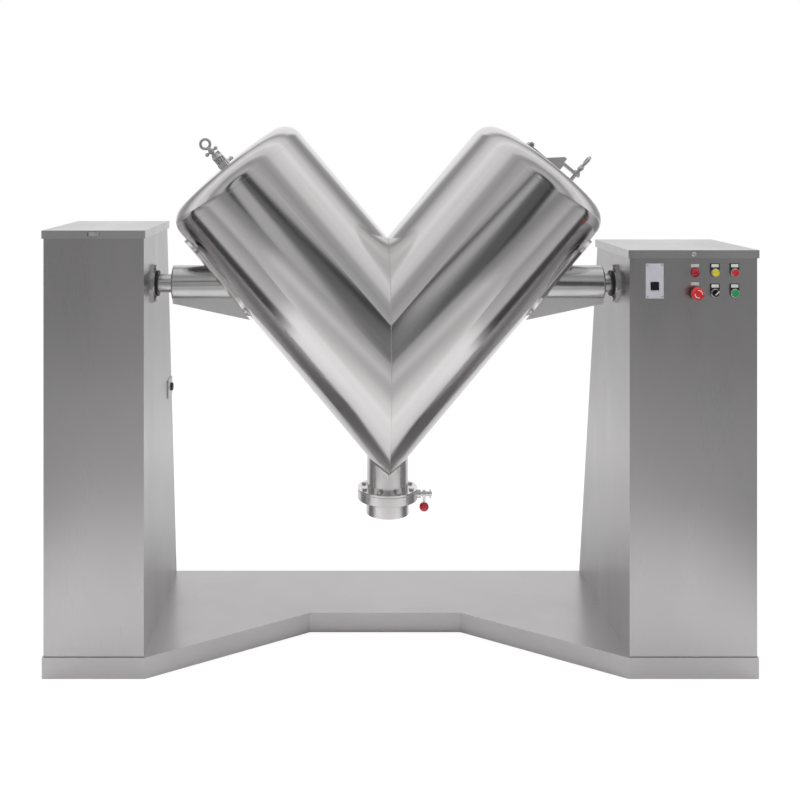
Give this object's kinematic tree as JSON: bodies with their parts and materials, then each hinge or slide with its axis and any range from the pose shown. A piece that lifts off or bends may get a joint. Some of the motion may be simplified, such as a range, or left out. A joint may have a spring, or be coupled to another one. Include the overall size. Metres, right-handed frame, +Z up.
{
  "type": "powder mixer",
  "caption": "Floor-standing V-shaped tumbling powder mixer between two sheet-metal columns, with clamped charging covers, a butterfly outlet valve and a control panel.",
  "frame": {"origin": "on the floor, under the middle of the vessel and midway through the depth of the plinth", "axes": "+X to the right along the trunnion axis, -Y towards the front with the controls, +Z up"},
  "size_m": [2.193, 0.7717, 1.6922],
  "materials": {
    "satin_sheet": "satin ground stainless sheet",
    "polished_steel": "polished stainless steel",
    "turned_steel": "turned stainless steel",
    "cast_housing": "painted casting",
    "plain_bolt": "stainless fasteners",
    "black_ring": "black seal",
    "white_seal": "white silicone",
    "white_seat": "white seat ring",
    "bearing_steel": "ground steel",
    "motor_paint": "satin blue-grey paint",
    "mild_plate": "grey primer",
    "red_ball": "moulded red",
    "red_plastic": "moulded red",
    "yellow_plastic": "moulded yellow",
    "green_plastic": "moulded green",
    "black_plastic": "moulded black",
    "grey_plastic": "moulded grey",
    "plate_finish": "anodised plate",
    "window_tint": "dark display window"
  },
  "bodies": {
    "frame": {"base_plinth": "satin_sheet", "left_column_shell": "satin_sheet", "right_column_shell": "satin_sheet", "left_column_cap": "satin_sheet", "right_column_cap": "satin_sheet", "left_cap_catch": "turned_steel", "right_cap_screw": "turned_steel", "left_bearing_housing": "turned_steel", "right_bearing_housing": "turned_steel", "bearing_inserts": "bearing_steel", "bearing_bolts": "plain_bolt", "backing_plates": "mild_plate", "gear_reducer": "cast_housing", "drive_motor": "motor_paint", "torque_arm": "mild_plate", "instrument_plate": "plate_finish", "timer_window": "window_tint", "indicator_lamp": "red_plastic", "legend_holders": "black_plastic", "control_bezels": "turned_steel", "estop_collar": "black_plastic", "contact_blocks": "grey_plastic", "door_lock_plate": "turned_steel", "cable_gland": "black_plastic", "door_hinges": "turned_steel"},
    "drum": {"left_vessel_arm": "polished_steel", "right_vessel_arm": "polished_steel", "left_hub": "turned_steel", "right_hub": "turned_steel", "left_pad_plate": "polished_steel", "right_pad_plate": "polished_steel", "hub_gussets": "polished_steel", "left_trunnion_shaft": "turned_steel", "right_trunnion_shaft": "turned_steel", "shaft_collars": "black_ring", "left_port_ring": "polished_steel", "right_port_ring": "polished_steel", "lid_hinge_pins": "turned_steel", "discharge_neck": "polished_steel", "flange_gasket": "white_seal", "flange_bolts": "plain_bolt", "valve_body": "polished_steel", "valve_seat": "white_seat", "lid_gaskets": "white_seal"},
    "left_cover": {"left_lid": "polished_steel"},
    "right_cover": {"right_lid": "polished_steel"},
    "left_clamp": {"left_eye_screw": "turned_steel"},
    "right_clamp": {"right_eye_screw": "turned_steel"},
    "butterfly": {"valve_disc": "polished_steel", "valve_stem": "turned_steel", "valve_lever": "turned_steel", "lever_knob": "red_ball"},
    "yellow_push": {"yellow_button": "yellow_plastic"},
    "red_push": {"red_button": "red_plastic"},
    "green_push": {"green_button": "green_plastic"},
    "stop_push": {"estop_head": "red_plastic"},
    "selector": {"selector_knob": "black_plastic"},
    "left_door": {"left_back_door": "satin_sheet"},
    "right_door": {"right_back_door": "satin_sheet"},
    "door_lock": {"door_lock_knob": "black_plastic"}
  },
  "joints": [
    {"name": "drum_spin", "type": "hinge", "parent": "frame", "child": "drum", "pos_m": [0, -0.176, 1.19], "axis": [1, 0, 0], "continuous": true},
    {"name": "left_lid_open", "type": "hinge", "parent": "drum", "child": "left_cover", "pos_m": [-0.52468, -0.088, 1.57629], "axis": [-0.766, 0, -0.6428], "range_deg": [0, 100]},
    {"name": "right_lid_open", "type": "hinge", "parent": "drum", "child": "right_cover", "pos_m": [0.45727, -0.176, 1.63286], "axis": [0, -1, 0], "range_deg": [0, 100]},
    {"name": "left_clamp_turn", "type": "hinge", "parent": "left_cover", "child": "left_clamp", "pos_m": [-0.54911, -0.26, 1.6054], "axis": [-0.6428, 0, 0.766], "continuous": true},
    {"name": "right_clamp_turn", "type": "hinge", "parent": "right_cover", "child": "right_clamp", "pos_m": [0.61345, -0.176, 1.55141], "axis": [0.6428, 0, 0.766], "continuous": true},
    {"name": "valve_turn", "type": "hinge", "parent": "drum", "child": "butterfly", "pos_m": [0, -0.176, 0.516], "axis": [1, 0, 0], "range_deg": [0, 90]},
    {"name": "yellow_press", "type": "slide", "parent": "frame", "child": "yellow_push", "axis": [0, 1, 0], "range_m": [0, 0.004], "stiffness_N_per_m": 400},
    {"name": "red_press", "type": "slide", "parent": "frame", "child": "red_push", "axis": [0, 1, 0], "range_m": [0, 0.004], "stiffness_N_per_m": 400},
    {"name": "green_press", "type": "slide", "parent": "frame", "child": "green_push", "axis": [0, 1, 0], "range_m": [0, 0.004], "stiffness_N_per_m": 400},
    {"name": "stop_press", "type": "slide", "parent": "frame", "child": "stop_push", "axis": [0, 1, 0], "range_m": [0, 0.006], "stiffness_N_per_m": 800},
    {"name": "selector_turn", "type": "hinge", "parent": "frame", "child": "selector", "pos_m": [0.993, -0.332, 1.179], "axis": [0, -1, 0], "range_deg": [0, 90]},
    {"name": "left_door_swing", "type": "hinge", "parent": "frame", "child": "left_door", "pos_m": [-1.06, 0.2846, 0.36481], "axis": [0, -0.1628, 0.9867], "range_deg": [0, 110]},
    {"name": "right_door_swing", "type": "hinge", "parent": "frame", "child": "right_door", "pos_m": [1.123, 0.26955, 0.36223], "axis": [0, 0.2123, -0.9772], "range_deg": [0, 110]},
    {"name": "door_lock_turn", "type": "hinge", "parent": "frame", "child": "door_lock", "pos_m": [-0.747, 0.16889, 0.782], "axis": [1, 0, 0], "range_deg": [0, 90]}
  ]
}
